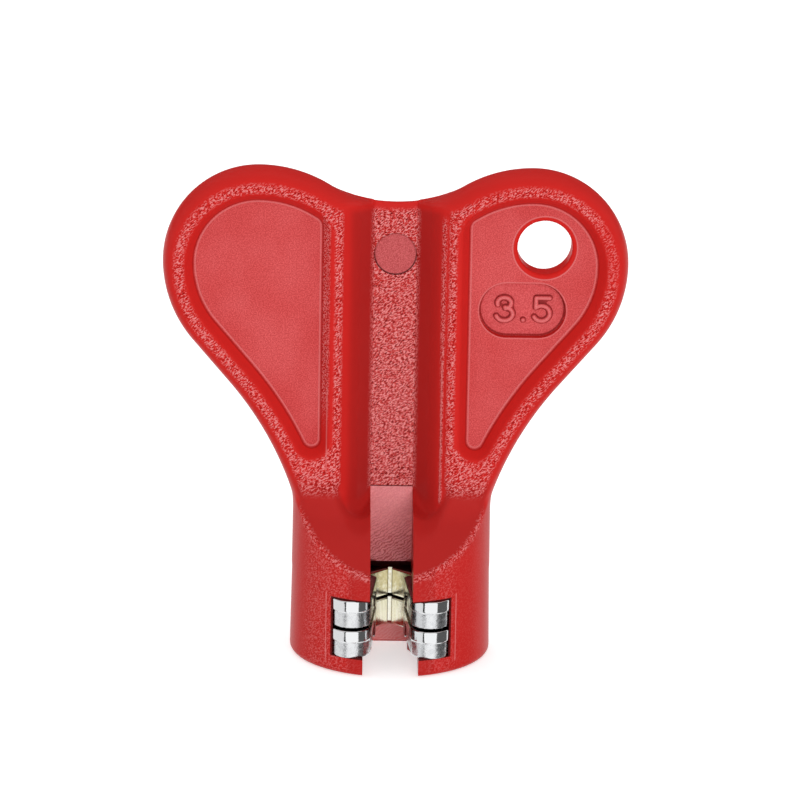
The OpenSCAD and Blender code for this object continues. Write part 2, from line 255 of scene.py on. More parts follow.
def over_scoop(y, z):
    """Distance above the sloping planes of the scoops, front and back"""
    slope = math.radians(scoop_angle)
    return (z - scoop_z) * math.cos(slope) + (np.abs(y) - rib_y) * math.sin(slope)


def barrel(x, y, z):
    """Drafted round with a rounded foot, cut off by the two scoops"""
    draft = (barrel_r - barrel_top_r) / (neck_z - foot_round)
    side = np.hypot(x, y) - (barrel_r - draft * np.maximum(z - foot_round, 0))
    return meet(meet(side, -z, foot_round), over_scoop(y, z), scoop_edge_r)


def spine(x, y, z):
    """Low crowned ridge on the back, rounded off below the saddle"""
    crown_r = (spine_x ** 2 + spine_y ** 2) / (2 * spine_y)
    crown = np.hypot(x, y - (rib_y + spine_y - crown_r)) - crown_r
    below_saddle = saddle_r - np.hypot(x, z - saddle_c[1])
    ridge = meet(crown, below_saddle, spine_round)
    return np.maximum(ridge, np.maximum(floor_y - y, scoop_z - spine_y - z))


def past_slope(ax, y, start, end):
    """Distance into the plastic from a sloping wall through two points, given as X and Y"""
    run, rise = end[0] - start[0], start[1] - end[1]
    return ((ax - start[0]) * rise + (y - start[1]) * run) / math.hypot(run, rise)


def channel_walls(ax, y, z):
    """Space between the sloping walls of the channel, which fades out over the scoop"""
    wall = past_slope(ax, y, (floor_x, floor_y), (shoulder_x, -shoulder_y))
    shoulder = past_slope(ax, y, (shoulder_x, -shoulder_y), (crest_x, -rib_y))
    bow = fade_drop * ((ax - fade_top_x) / fade_half_w) ** 2
    end = fade_z + fade_lean * (y + rib_y) + bow - z
    inner = meet(wall, y - floor_y, floor_corner_r)
    return meet(join(inner, shoulder, shoulder_fillet), end, fade_round)


def prong_tip(ax, y):
    """Distance outwards from the round end of a prong"""
    return np.hypot(ax - tip_x, y + tip_y) - tip_r


def jaw_side(ax, y, tip):
    """Distance outwards from the outline of the plates, whose prongs end in the given tip"""
    return np.where(y >= 0, np.hypot(ax, y) - jaw_r, np.where(y < -tip_y, tip, ax - jaw_r))


def socket_spaces(x, y, z):
    """Spaces for the plates, the spoke and the nipple"""
    ax = np.abs(x)
    slot = np.maximum(np.maximum(ax - floor_x, y - floor_y), plates_top_z - z)
    patch = np.maximum(np.maximum(ax - floor_x, y - floor_y - patch_depth),
                       np.maximum(plates_top_z - z, z - patch_top_z))
    chamber = np.maximum(np.maximum(ax - floor_x, y - chamber_y),
                         np.abs(z - chamber_z) - chamber_half_h)
    tips = np.where(ax < tip_x, -1, prong_tip(ax, y))
    mid_z, half_h = (plates_bottom_z + plates_top_z) / 2, (plates_top_z - plates_bottom_z) / 2
    plates = np.maximum(jaw_side(ax, y, tips), np.abs(z - mid_z) - half_h)
    share = np.clip((-slot_rear_y - y) / (slot_front_y - slot_rear_y), 0, 1)
    flared = ax - slot_rear_x - (slot_x - slot_rear_x) * share
    under = np.maximum(np.maximum(flared, y - slot_back_y), z - plates_bottom_z - slot_lap)
    spaces = slot
    for space in (patch, chamber, plates, under):
        spaces = np.minimum(spaces, space)
    return spaces


def mark_side(x, z):
    """Distance outwards from the oval round the size mark"""
    beyond = np.maximum(np.abs(x - mark_c[0]) - (mark_l - mark_h) / 2, 0)
    return np.hypot(beyond, z - mark_c[1]) - mark_h / 2


def mark_recess(x, y, z):
    """Distance outwards from the space of the oval recess"""
    return meet(mark_side(x, z), y + web_y - mark_depth, mark_foot_r)


def handle(x, y, z):
    """Distance outwards from the whole moulding"""
    ax = np.abs(x)
    outline = outline_distance(ax, z)
    panel = panel_distance(ax, z, outline)
    slab = np.maximum(wings(y, outline, panel), wing_bottom_z - z)

    # The wings blend widely into the scoops, but closely into the barrel's sides
    corner = math.radians((90 - scoop_angle) / 2)
    blend = scoop_round * math.tan(corner) * math.cos(math.radians(scoop_angle))
    fillet = neck_fillet + (blend - neck_fillet) * (1 - ramp(ax, 7.6, 10.6))
    body = join(slab, barrel(x, y, z), fillet)
    body = join(body, spine(x, y, z), spine_fillet)

    # The channel's edges are rounder over the scoops than along the ribs
    edge = crest_edge_r + fade_edge_r * (1 - ramp(z, 18.5, 20.5))
    body = meet(body, -channel_walls(ax, y, z), edge)

    ejector = np.maximum(np.hypot(x, z - ejector_z) - ejector_r, y - floor_y - ejector_depth)
    body = meet(body, -np.minimum(socket_spaces(x, y, z), ejector), cut_edge_r)
    body = meet(body, hole_r - np.hypot(x - hole_c[0], z - hole_c[1]), hole_edge)
    return meet(body, -mark_recess(x, y, z), cut_edge_r)


def arc_points(centre, radii, start, end):
    """Points along an elliptical arc from a start to an end angle"""
    parts = 14
    turns = [start + (end - start) * i / parts for i in range(parts + 1)]
    return [np.array(centre) + np.array(radii) * unit(turn) for turn in turns]


def stroke_paths():
    """Centre lines of the size mark, as X and Z from its middle"""
    three_x, five_x = -1.98, 2.14
    upper_bow = arc_points((three_x, 0.67), (0.76, 0.63), 200, -80)
    lower_bow = arc_points((three_x + 0.02, -0.56), (0.93, 0.76), 86, -162)
    bowl = arc_points((five_x - 0.02, -0.45), (0.92, 0.86), 134, -152)
    stem = [np.array((five_x + 0.86, 1.28)), np.array((five_x - 0.62, 1.28)), bowl[0]]
    dot = [np.array((0.10, -1.22)), np.array((0.14, -1.22))]
    return [upper_bow, lower_bow, stem, bowl, dot]


def stroke_distance(x, z):
    """Distance from the centre lines of the size mark"""
    across = np.full(np.broadcast(x, z).shape, float(FAR))
    for path in stroke_paths():
        for start, end in zip(path[:-1], path[1:]):
            px, pz = x - mark_c[0] - start[0], z - mark_c[1] - start[1]
            line = end - start
            along = np.clip((px * line[0] + pz * line[1]) / (line @ line), 0, 1)
            across = np.minimum(across, np.hypot(px - along * line[0], pz - along * line[1]))
    return across


def digits(x, y, z):
    """Distance outwards from the raised strokes, whose tops are round"""
    across = stroke_distance(x, z)
    floor = mark_depth - web_y
    axis_y = floor - digit_raise + stroke_r
    stroke = np.hypot(across, np.minimum(y - axis_y, 0)) - stroke_r
    return np.maximum(stroke, y - floor - digit_lap)


def jaw_plate(x, y, z):
    """Distance outwards from one plate that stands on z = 0"""
    ax = np.abs(x)
    blank = jaw_side(ax, y, prong_tip(ax, y))
    socket = (ax + np.abs(y) - socket_reach) / math.sqrt(2)
    flare = (mouth_x - throat_x) / (tip_y - throat_y)
    wedge = (ax - throat_x + (y + throat_y) * flare) / math.hypot(1, flare)
    wedge = np.maximum(wedge, y + wedge_end_y)
    relief_end = np.abs(y - relief_y / 2 - relief_inset) - relief_y / 2 + relief_inset
    relief = np.maximum(ax - relief_x, relief_end)
    opening = join(join(socket, wedge, socket_fillet), relief, socket_fillet)
    side = meet(blank, -opening, plate_corner_r)

    # The broken lower part of the punched edge stands back, except in the socket
    broken = 1 - ramp(z, break_h - 0.12, break_h + 0.06)
    side = side + break_step * broken * ramp(np.hypot(x, y), socket_r, socket_r + 0.4)
    return meet(meet(side, z - plate_t, plate_top_r), -z, plate_foot_r)


def sample(field, grid):
    """Values of a field at every point of a grid, none of them exactly 0"""
    values = field(grid[0][:, None, None], grid[1][None, :, None], grid[2][None, None, :])
    values = np.broadcast_to(values, [len(line) for line in grid]).copy()
    values[values == 0] = 1e-6
    return values


def crossings(field, values, grid, axis, step):
    """Grid edges along one axis on which the field changes sign, as their indices in the grid,
    the points of change, the field's directions there and whether the field rises along them"""
    lower = np.moveaxis(values, axis, 0)[:-1]
    upper = np.moveaxis(values, axis, 0)[1:]
    index = np.argwhere((lower < 0) != (upper < 0))
    a, b = lower[tuple(index.T)], upper[tuple(index.T)]
    index = np.insert(np.delete(index, 0, 1), axis, index[:, 0], 1)
    start = np.stack([grid[i][index[:, i]] for i in range(3)], 1)
    rising = a < 0

    # Three rounds of closing in on the point of change
    near, far = np.zeros(len(a)), np.ones(len(a))
    for _ in range(3):
        t = near + (far - near) * a / (a - b)
        point = start.copy()
        point[:, axis] += t * step
        value = field(*point.T)
        same = (value < 0) == rising
        near, a = np.where(same, t, near), np.where(same, value, a)
        far, b = np.where(same, far, t), np.where(same, b, value)
        b = np.where(b == a, b + 1e-9, b)

    shifts = np.eye(3) * 0.01
    normal = np.stack([field(*(point + s).T) - field(*(point - s).T) for s in shifts], 1)
    normal /= np.maximum(np.linalg.norm(normal, axis=1, keepdims=True), 1e-9)
    return index, point, normal, rising


def cells_round(index, axis, shape):
    """Numbers of the four cells round each grid edge along an axis, in turning order"""
    u, v = (axis + 1) % 3, (axis + 2) % 3
    cells = []
    for du, dv in ((-1, -1), (0, -1), (0, 0), (-1, 0)):
        cell = index.copy()
        cell[:, u] += du
        cell[:, v] += dv
        cells.append(np.ravel_multi_index(tuple(cell.T), shape))
    return np.stack(cells, 1)


def cell_vertices(points, normals, owners, grid, step):
    """Numbers of the cells that own the points, and in each the place that best fits the planes
    through its points, held a little towards their middle and kept inside the cell"""
    cells, owners = np.unique(owners, return_inverse=True)
    count = np.bincount(owners)
    middle = np.stack([np.bincount(owners, points[:, i]) for i in range(3)], 1) / count[:, None]
    offset = np.einsum("ij,ij->i", normals, points - middle[owners])
    pull = np.stack([np.bincount(owners, normals[:, i] * offset) for i in range(3)], 1)
    matrix = np.empty((len(cells), 3, 3))
    for i in range(3):
        for j in range(3):
            matrix[:, i, j] = np.bincount(owners, normals[:, i] * normals[:, j])
    hold = 0.04
    matrix += hold * count[:, None, None] * np.eye(3)
    shift = np.linalg.solve(matrix, pull[:, :, None])[:, :, 0]
    cell = np.stack(np.unravel_index(cells, [len(line) for line in grid]), 1)
    corner = np.stack([grid[i][cell[:, i]] for i in range(3)], 1)
    margin = 0.01 * step
    return cells, np.clip(middle + shift, corner + margin, corner + step - margin)


def dual_mesh(field, low, high, step):
    """Vertices and quads of the surface where the field changes sign, one vertex to a cell"""
    grid = [np.arange(a, b + step, step) for a, b in zip(low, high)]
    values = sample(field, grid)
    points, normals, owners, quads = [], [], [], []
    for axis in range(3):
        index, point, normal, rising = crossings(field, values, grid, axis, step)
        corners = cells_round(index, axis, values.shape)
        quads.append(np.where(rising[:, None], corners, corners[:, ::-1]))
        for corner in corners.T:
            points.append(point)
            normals.append(normal)
            owners.append(corner)
    cells, vertices = cell_vertices(np.concatenate(points), np.concatenate(normals),
                                    np.concatenate(owners), grid, step)
    return vertices, np.searchsorted(cells, np.concatenate(quads))


def mesh_object(name, vertices, quads, attributes, sharp_angle):
    """Object of quads in metres, with one number per vertex for each attribute"""
    mesh = bpy.data.meshes.new(name)
    mesh.vertices.add(len(vertices))
    mesh.vertices.foreach_set("co", (vertices * MM).astype(np.float32).ravel())
    mesh.loops.add(quads.size)
    mesh.loops.foreach_set("vertex_index", quads.astype(np.int32).ravel())
    mesh.polygons.add(len(quads))
    mesh.polygons.foreach_set("loop_start", np.arange(0, quads.size, 4, dtype=np.int32))
    mesh.update(calc_edges=True)
    mesh.validate()
    mesh.polygons.foreach_set("use_smooth", [True] * len(mesh.polygons))
    mesh.set_sharp_from_angle(angle=math.radians(sharp_angle))
    for key, values in attributes.items():
        layer = mesh.attributes.new(key, "FLOAT", "POINT")
        layer.data.foreach_set("value", values.astype(np.float32))
    piece = bpy.data.objects.new(name, mesh)
    bpy.context.scene.collection.objects.link(piece)
    return piece


def crest_grain(x, y, z, outline, panel):
    """Grain on the crests of rim and ribs, and in a strip down the left rib's outer slope"""
    ax, front = np.abs(x), y < 0
    off_panel = ramp(panel - 0.3 * (ax < panel_x) * (z > 24), 1.0, 1.25)
    crest = ramp(-outline, 1.05, 1.5) * off_panel * ramp(np.abs(y), 3.0, 3.3)
    crest *= np.where(front, ramp(ax, 5.65, 5.9), 1) * ramp(z, 18.2, 19.6)
    worn_corner = front * ramp(x, 16, 18.5) * ramp(z, 41.5, 43.5) * (1 - ramp(z, 49, 51))
    crest *= (0.9 + 0.1 * (ax < 8)) * (1 - 0.45 * worn_corner)
    strip = (1 - ramp(np.abs(x + 7.6), 0.32, 0.45)) * ramp(panel, 0.05, 0.2)
    strip = strip * ramp(-outline, 1.4, 2.2) * front * ramp(z, 25, 31)
    return np.maximum(crest, strip)


def side_grain(x, y, z, side):
    """Grain on the barrel's side, with two stronger patches and more of it to the back,
    and along the edges of the scoops"""
    turn = np.degrees(np.arctan2(x, -y))
    left_patch = ramp(turn, -64, -52) * (1 - ramp(turn, -30, -20))
    right_patch = 0.6 * ramp(turn, 18, 26) * (1 - ramp(turn, 34, 44))
    grain = side * (0.07 + 0.30 * (left_patch + right_patch) + 0.17 * ramp(y, -5, 6))
    scoop_edge = ramp(np.hypot(x, y), barrel_top_r - 0.45, barrel_top_r - 0.2)
    scoop_edge = scoop_edge * (1 - ramp(np.abs(over_scoop(y, z) + 0.05), 0.12, 0.4))
    return np.maximum(grain, 0.75 * scoop_edge * ramp(np.abs(y), 3, 5))


def flat_grain(x, y, z, outline):
    """Grain on the channel's floor alone, and together with that of the back and of a line
    on the right rib"""
    ax, front = np.abs(x), y < 0
    floor = ramp(y, 0.9, 1.6) * (1 - ramp(ax, 2.35, 2.9))
    floor = floor * (1 - ramp(-outline, 1.4, 0.7)) * ramp(z, 17.9, 18.1) * (y < 3)
    back = ramp(y, 3.7, 4.2) * ramp(-outline, 1.2, 1.8) * ramp(z, 17.5, 19) * (ax < 7)
    seam_w = 0.2 + 0.16 * ramp(z, 28, 40)
    seam = (1 - ramp(np.abs(x - 5.25), 0.1, seam_w)) * ramp(z, 17.5, 18.2) * front
    seam = seam * ramp(-outline, 1.4, 2.4)
    return floor, np.maximum(np.maximum(floor, back), seam)


def polish_and_shade_share(ax, y, z, outline, side):
    """Share of polished plastic: the scoops, the channel's walls and some of the barrel's side; its
    darker red is painted shade on the scoops and walls
    """
    above_foot = ramp(z, 0.1, 0.5)
    scoops = ramp(np.abs(y), 2.8, 3.5) * (1 - ramp(z, 18.5, 21.5)) * (1 - side) * above_foot
    walls = 0.8 * (1 - ramp(y, 2.0, 2.4)) * (1 - ramp(ax, 4.4, 5.4))
    walls = walls * ramp(-outline, 0.7, 1.4) * above_foot
    return np.maximum(np.maximum(scoops, walls), 0.35 * side)


def handle_masks(p):
    """What the plastic's material reads at the points p: the shares of grain, of pale sanding,
    painted paler as sheen, of grained channel floor and of polish, painted darker as shade, and the
    distances from panel, oval and digits"""
    x, y, z = p.T
    ax = np.abs(x)
    outline = outline_distance(ax, z)
    panel = panel_distance(ax, z, outline)
    side = ramp(np.hypot(x, y), barrel_top_r - 0.25, barrel_top_r - 0.1)
    side = side * (1 - ramp(z, 15.5, 19)) * ramp(z, 0.1, 0.5)
    floor, flat = flat_grain(x, y, z, outline)
    grain = np.maximum(crest_grain(x, y, z, outline, panel), side_grain(x, y, z, side))
    grain = np.maximum(grain, flat)
    # Pale share: where the panels' paler colour is painted as sheen
    pale = (1 - ramp(panel, 0.1, 0.4)) * (1 - ramp(np.abs(y), web_y + 0.02, web_y + 0.15))
    oval = np.where((y < -0.5) & (y > -web_y - 0.2), mark_side(x, z), 1)
    stroke = np.where((y < -0.5) & (y > -web_y), stroke_distance(x, z), 1)
    # The share of polish marks where a darker red is painted as shade
    return {"grain": grain, "pale": pale, "floor": floor,
            "polish_and_shade": polish_and_shade_share(ax, y, z, outline, side), "gap": np.clip(panel, -1, 1),
            "oval": np.clip(oval, -1, 1), "stroke": np.clip(stroke, 0, 1)}


def plate_masks(p):
    """What the steel's material reads at the points p: broken edge, insides of the prongs,
    socket and top face"""
    x, y, z = p.T
    ax = np.abs(x)
    return {"broken": (1 - ramp(z, break_h - 0.1, break_h)) * ramp(-y, 4, 6),
            "inner": ramp(-y, 0.8, 1.0) * ramp(ax, 1.45, 1.55) * (1 - ramp(ax, 2.15, 2.4)),
            "socket": 1 - ramp(np.hypot(x, y), socket_r - 0.2, socket_r + 0.2),
            "top": ramp(z, plate_t - 0.12, plate_t - 0.02)}


class Shader:
    """Small helper that adds nodes to one material or world"""

    def __init__(self, owner):
        owner.use_nodes = True
        self.tree = owner.node_tree
        self.tree.nodes.clear()

    def add(self, kind, settings=None, **inputs):
        made = self.tree.nodes.new(kind)
        for key, value in (settings or {}).items():
            setattr(made, key, value)
        for key, value in inputs.items():
            self.put(made.inputs[key.replace("_", " ")], value)
        return made

    def put(self, socket, value):
        if isinstance(value, bpy.types.NodeSocket):
            self.tree.links.new(value, socket)
        else:
            socket.default_value = value

    def math(self, operation, a, b=0.0, clamp=False):
        made = self.tree.nodes.new("ShaderNodeMath")
        made.operation = operation
        made.use_clamp = clamp
        self.put(made.inputs[0], a)
        self.put(made.inputs[1], b)
        return made.outputs[0]

    def chain(self, operation, values):
        result = values[0]
        for value in values[1:]:
            result = self.math(operation, result, value)
        return result

    def plus(self, *values):
        return self.chain("ADD", values)

    def minus(self, a, b):
        return self.math("SUBTRACT", a, b)

    def times(self, *values):
        return self.chain("MULTIPLY", values)

    def largest(self, *values):
        return self.chain("MAXIMUM", values)

    def grade(self, share, start, change):
        """Start plus as much of the change as the share says"""
        return self.plus(start, self.times(share, change))

    def step(self, value, low, high):
        made = self.tree.nodes.new("ShaderNodeMapRange")
        made.interpolation_type = "SMOOTHSTEP"
        self.put(made.inputs["Value"], value)
        made.inputs["From Min"].default_value = low
        made.inputs["From Max"].default_value = high
        return made.outputs["Result"]

    def band(self, value, low, high, soft):
        """One between two values, with soft ends"""
        return self.times(self.step(value, low, low + soft), self.step(value, high, high - soft))

    def mix(self, factor, a, b):
        made = self.tree.nodes.new("ShaderNodeMix")
        made.data_type = "RGBA"
        self.put(made.inputs[0], factor)
        self.put(made.inputs[6], a)
        self.put(made.inputs[7], b)
        return made.outputs[2]

    def noise(self, vector, scale, detail=2.0, roughness=0.5, distortion=0.0):
        made = self.add("ShaderNodeTexNoise", Vector=vector, Scale=scale, Detail=detail,
                        Roughness=roughness, Distortion=distortion)
        return made.outputs["Fac"]

    def attribute(self, name):
        return self.add("ShaderNodeAttribute", {"attribute_name": name}).outputs["Fac"]

    def place(self):
        return self.add("ShaderNodeTexCoord").outputs["Object"]

    def stretch(self, vector, scale, turn=(0, 0, 0)):
        made = self.add("ShaderNodeMapping", Vector=vector, Scale=scale, Rotation=turn)
        return made.outputs["Vector"]

    def seen(self):
        """One for rays of the camera, of reflections and through clear things, and else zero"""
        path = self.add("ShaderNodeLightPath").outputs
        rays = self.plus(path["Is Camera Ray"], path["Is Glossy Ray"])
        return self.math("ADD", rays, path["Is Transmission Ray"], clamp=True)

    def finish(self, shader, kind="ShaderNodeOutputMaterial"):
        output = self.tree.nodes.new(kind)
        self.tree.links.new(shader, output.inputs["Surface"])


class Plastic(Shader):
    """Nodes of the red plastic, with the places, masks and noises that its parts share"""

    def __init__(self, owner):
        super().__init__(owner)
        self.object_place = self.place()
        split = self.add("ShaderNodeSeparateXYZ", Vector=self.object_place)
        self.x, self.y, self.z = split.outputs[0], split.outputs[1], split.outputs[2]
        self.ax = self.math("ABSOLUTE", self.x)
        self.floor, self.gap = self.attribute("floor"), self.attribute("gap")
        self.oval, self.stroke = self.attribute("oval"), self.attribute("stroke")
        self.mask_channel()
        self.mask_panels()
        self.draw_noises()

    def from_point(self, point):
        """Distance from the axis along Y through a point, which is given as X and Z in mm"""
        dx, dz = self.minus(self.x, point[0] * MM), self.minus(self.z, point[1] * MM)
        return self.math("SQRT", self.plus(self.times(dx, dx), self.times(dz, dz)))

    def mask_channel(self):
        """Smooth spots on the channel's floor, and the grain that they leave"""
        in_channel = self.times(self.band(self.y, 2.3 * MM, 3.0 * MM, 0.15 * MM),
                                self.step(self.ax, 4.5 * MM, 4.3 * MM))
        reach = self.from_point((0, ejector_z))
        disc_edge = self.step(reach, (ejector_r + 0.02) * MM, (ejector_r - 0.06) * MM)
        self.disc = self.times(disc_edge, in_channel)
        # Painted shade line in the ejector's ring groove, stronger in its lower half
        ring = self.band(reach, (ejector_r - 0.12) * MM, (ejector_r + 0.12) * MM, 0.08 * MM)
        lower_half = self.step(self.z, (ejector_z + 1.2) * MM, (ejector_z - 1.2) * MM)
        self.ring = self.times(ring, in_channel, self.grade(lower_half, 0.4, 0.6))
        patch_top = self.step(self.z, patch_top_z * MM, (patch_top_z - 0.06) * MM)
        patch_bottom = self.step(self.z, chamber_z * MM, (chamber_z + 0.3) * MM)
        self.patch = self.times(patch_top, in_channel, patch_bottom)
        # Painted shadow line under the patch's top edge
        line_bottom = self.step(self.z, (patch_top_z - 0.05) * MM, (patch_top_z + 0.01) * MM)
        line_top = self.step(self.z, (patch_top_z + 0.15) * MM, (patch_top_z + 0.07) * MM)
        self.patch_shadow_line = self.times(line_bottom, line_top, in_channel)
        rough_floor = self.minus(1.0, self.largest(self.disc, self.patch))
        self.grain = self.times(self.attribute("grain"), rough_floor)

    def mask_panels(self):
        """Sanded area of the panels, painted paler as sheen, without the lip of the hole and the
        walls of the size mark
        """
        self.from_hole = self.from_point(hole_c)
        self.in_hole = self.step(self.from_hole, (hole_r + 0.35) * MM, (hole_r + 0.15) * MM)
        around_hole = self.step(self.from_hole, (hole_r + 0.4) * MM, (hole_r + 0.5) * MM)
        mark_wall = self.times(self.band(self.oval, -0.14, 0.07, 0.04),
                               self.band(self.y, -1.66 * MM, -0.76 * MM, 0.06 * MM))
        self.pale = self.times(self.attribute("pale"), around_hole, self.minus(1.0, mark_wall))

    def draw_noises(self):
        """Slanting ridges of the grain, fine sanding, broad clouds and flow lines"""
        turned = self.stretch(self.object_place, (1.0, 1.0, 1.0), (0, math.radians(35), 0))
        long_way = self.stretch(turned, (0.55, 1.0, 1.3))
        self.ridges = self.noise(long_way, 5900.0, 2.0, 0.55, 0.5)
        self.fine = self.noise(self.object_place, 7600.0, 2.0, 0.6)
        self.fleck = self.step(self.fine, 0.37, 0.65)
        self.broad = self.noise(self.object_place, 260.0, 2.0, 0.5)
        cloud = self.noise(self.object_place, 170.0, 2.0, 0.5)
        self.cloud = self.step(cloud, 0.35, 0.70)
        slanted = self.stretch(self.object_place, (1.0, 1.0, 1.0), (0, math.radians(-55), 0))
        wave = self.add("ShaderNodeTexWave", Vector=slanted, Scale=950.0, Distortion=13.0,
                        Detail=3.0, Detail_Scale=0.9, Detail_Roughness=0.65)
        self.flow = wave.outputs["Fac"]

    def base_color(self):
        """Moulded red, polished red darkened as painted shade, the sanded panels paled as painted
        sheen, the hole's wall lightened as painted light, and the spots in the channel
        """
        red = self.mix(self.broad, (0.620, 0.0215, 0.0185, 1), (0.670, 0.0240, 0.0205, 1))
        # Polished red is darker: painted shade on the scoops and the channel's walls
        polish_and_shade_red = self.mix(self.broad, (0.455, 0.0200, 0.0180, 1), (0.485, 0.0215, 0.0190, 1))
        color = self.mix(self.attribute("polish_and_shade"), red, polish_and_shade_red)

        # Paler sand colours of the panels: painted sheen
        sand_sheen_low = self.mix(self.cloud, (0.590, 0.072, 0.073, 1), (0.550, 0.055, 0.055, 1))
        sand_sheen_high = self.mix(self.cloud, (0.760, 0.126, 0.128, 1), (0.720, 0.100, 0.101, 1))
        color = self.mix(self.pale, color, self.mix(self.fleck, sand_sheen_low, sand_sheen_high))
        # A slightly lighter red on the hole's wall: painted light against its shade
        hole_wall_lit = (0.680, 0.0225, 0.0190, 1)
        color = self.mix(self.in_hole, color, hole_wall_lit)
        # The size mark's floor is painted paler still, as sheen
        mark_sheen_share = self.times(self.step(self.oval, -0.16, -0.30), 0.35)
        mark_floor_sheen = self.mix(self.fleck, (0.760, 0.125, 0.135, 1), (0.860, 0.180, 0.190, 1))
        color = self.mix(mark_sheen_share, color, mark_floor_sheen)

        disc_color = self.mix(self.fleck, (0.520, 0.085, 0.090, 1), (0.700, 0.160, 0.165, 1))
        color = self.mix(self.disc, color, disc_color)
        # Flow lines take more of their darker colour towards the bottom of the patch: painted shade
        patch_low_shade = self.step(self.z, 16.0 * MM, 11.0 * MM)
        flow_share = self.times(self.step(self.flow, 0.60, 0.05), self.grade(patch_low_shade, 0.15, 0.85))
        flow_light = self.mix(self.fleck, (0.900, 0.300, 0.315, 1), (0.990, 0.385, 0.405, 1))
        flow_dark = (0.640, 0.140, 0.150, 1)
        return self.mix(self.patch, color, self.mix(flow_share, flow_light, flow_dark))

    def add_grain(self, color):
        """Painted highlights on the grain's ridges and painted shade in its pits, over a paler
        painted sheen on the channel's floor that thins out upwards
        """
        floor_sheen_red, pit_shade = (0.64, 0.14, 0.14, 1), (0.13, 0.004, 0.004, 1)
        floor_sheen = self.grade(self.step(self.z, 25.0 * MM, 45.0 * MM), 0.36, -0.26)
        color = self.mix(self.times(self.floor, floor_sheen, self.grain), color, floor_sheen_red)
        # Pale ridge colour is a painted highlight, dark pit colour a painted shade
        ridge_highlight_share = self.times(self.step(self.ridges, 0.50, 0.58), self.grain, 0.80)
        ridge_highlight = self.mix(self.floor, (0.86, 0.31, 0.31, 1), (0.92, 0.42, 0.42, 1))
        color = self.mix(ridge_highlight_share, color, ridge_highlight)
        pit_shade_share = self.times(self.step(self.ridges, 0.44, 0.37), self.grain,
                               self.grade(self.floor, 0.65, 0.3))
        return self.mix(pit_shade_share, color, pit_shade)

    def add_edge_light_and_shade(self, color):
        """Painted highlights and painted shade: thin pale and dark lines at the edges of panels,
        ribs, hole, size mark and digits
        """
        hole_highlight = self.band(self.from_hole, (hole_r + 0.46) * MM, (hole_r + 0.64) * MM, 0.06 * MM)
        rib_highlights = self.largest(
            self.times(self.band(self.x, 5.13 * MM, 5.33 * MM, 0.06 * MM),
                       self.band(self.z, 17.6 * MM, 34.0 * MM, 0.3 * MM)),
            self.times(self.band(self.x, -7.44 * MM, -7.24 * MM, 0.06 * MM),
                       self.band(self.z, 20.6 * MM, 31.5 * MM, 1.5 * MM)))
        # Pale lines are painted highlights
        edge_highlight = self.largest(self.band(self.gap, -0.24, -0.02, 0.08),
                             self.band(self.oval, 0.02, 0.18, 0.06),
                             self.times(hole_highlight, self.pale),
                             self.times(rib_highlights, self.step(self.y, 0.0, -1.0 * MM)))
        # Lighter digit tops are a painted highlight
        digit_highlights = self.times(self.step(self.stroke, 0.17, 0.08), 0.42)
        highlight_red, shade_red = (0.80, 0.26, 0.26, 1), (0.22, 0.008, 0.008, 1)
        color = self.mix(self.largest(self.times(edge_highlight, 0.45), digit_highlights), color, highlight_red)
        # Dark lines are painted shade
        edge_shade = self.largest(self.band(self.oval, -0.26, 0.02, 0.08),
                            self.band(self.stroke, 0.20, 0.40, 0.06),
                            self.times(self.band(self.gap, -0.02, 0.22, 0.08), 0.6))
        return self.mix(self.times(edge_shade, 0.7), color, shade_red)

    def add_pocket(self, color):
        """Painted shade: dark lines in the gap round the jaw plates, in the ejector's ring groove
        and under the patch's top edge; and the faint outline of a mould insert round the plates
        """
        front = self.step(self.y, -5.5 * MM, -6.5 * MM)
        beside = self.minus(self.ax, jaw_r * MM)
        below = self.minus(plates_bottom_z * MM, self.z)
        above = self.minus(self.z, (plates_top_z + 0.08) * MM)
        pocket = self.largest(beside, self.largest(below, above))
        # Painted shade in the gap round the plates
        pocket_shade_line = self.times(self.step(pocket, 0.10 * MM, 0.05 * MM), front)
        insert_side = self.band(self.ax, (jaw_r + 0.52) * MM, (jaw_r + 0.66) * MM, 0.03 * MM)
        insert_height = self.band(self.z, 1.2 * MM, 9.2 * MM, 0.3 * MM)
        insert_line = self.times(insert_side, front, insert_height)
        insert_red, gap_shade_red = (0.86, 0.33, 0.33, 1), (0.02, 0.002, 0.002, 1)
        color = self.mix(self.times(insert_line, 0.35), color, insert_red)
        # Painted shade: dark lines in gaps and grooves
        shade_lines = self.largest(self.ring, self.patch_shadow_line, pocket_shade_line)
        return self.mix(self.times(shade_lines, 0.85), color, gap_shade_red)

    def add_slot_walls(self, color):
        """Painted shade in the chamber above the plates, and painted light on the pale rear wall of
        the slot below them
        """
        arch = self.plus((chamber_z + 0.15) * MM, self.times(self.x, self.x, 90.0))
        above = self.step(self.z, (plates_top_z - 0.15) * MM, (plates_top_z - 0.05) * MM)
        chamber = self.times(self.step(self.minus(self.z, arch), 0.04 * MM, -0.04 * MM), above,
                             self.band(self.y, -1.0 * MM, 8.0 * MM, 1.0 * MM),
                             self.step(self.ax, (floor_x + 0.25) * MM, (floor_x + 0.15) * MM))
        # Dark red in the chamber is painted shade
        chamber_shade_red = (0.25, 0.040, 0.036, 1)
        color = self.mix(self.times(chamber, 0.9), color, chamber_shade_red)
